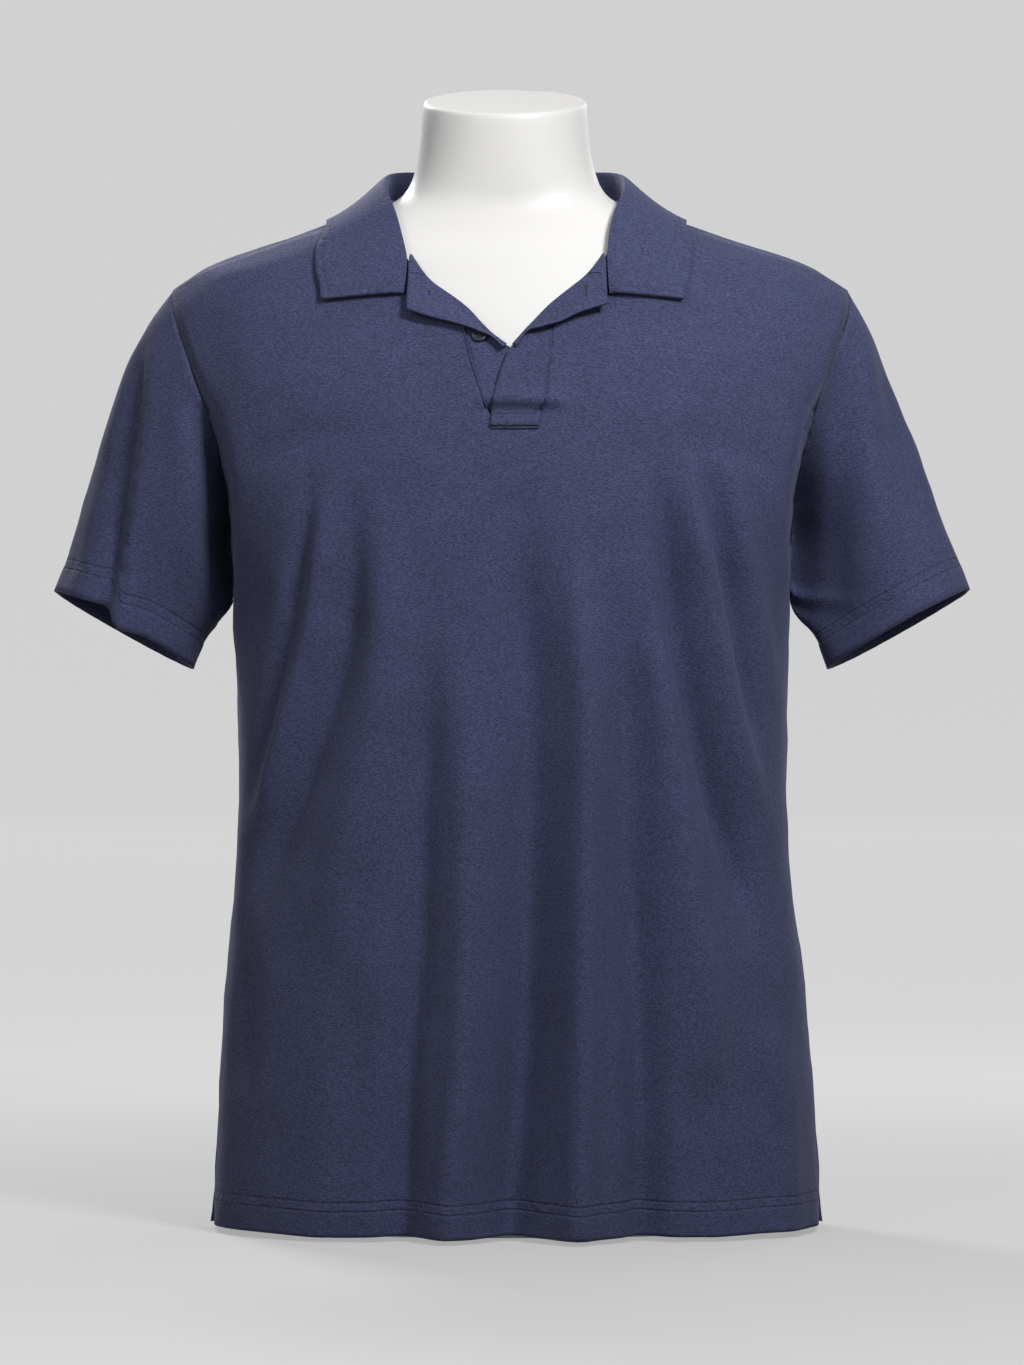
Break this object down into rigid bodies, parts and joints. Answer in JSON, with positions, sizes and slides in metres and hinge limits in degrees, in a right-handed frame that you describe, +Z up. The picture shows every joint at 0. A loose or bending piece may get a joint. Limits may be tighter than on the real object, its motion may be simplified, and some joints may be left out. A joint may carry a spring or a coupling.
{
  "type": "knit polo shirt on a limbless dress form",
  "caption": "Short-sleeved knit polo shirt with a spread collar and an open placket, filled out by a smooth limbless dress form that stands on its flat base.",
  "frame": {"origin": "middle of the dress form's flat base, on the floor", "axes": "+Z up along the form, the shirt's front faces -Y, and the wearer's left is at +X"},
  "size_m": [0.6709, 0.2639, 0.8365],
  "materials": {
    "navy_knit": "matte",
    "button_plastic": "satin",
    "form_shell": "satin"
  },
  "bodies": {
    "root": {"front": "navy_knit", "back": "navy_knit", "sleeve_left": "navy_knit", "sleeve_right": "navy_knit", "collar": "navy_knit", "placket_top": "navy_knit", "placket_under": "navy_knit", "button_under_placket": "button_plastic", "button_turned_corner": "button_plastic", "dress_form": "form_shell"}
  },
  "joints": []
}
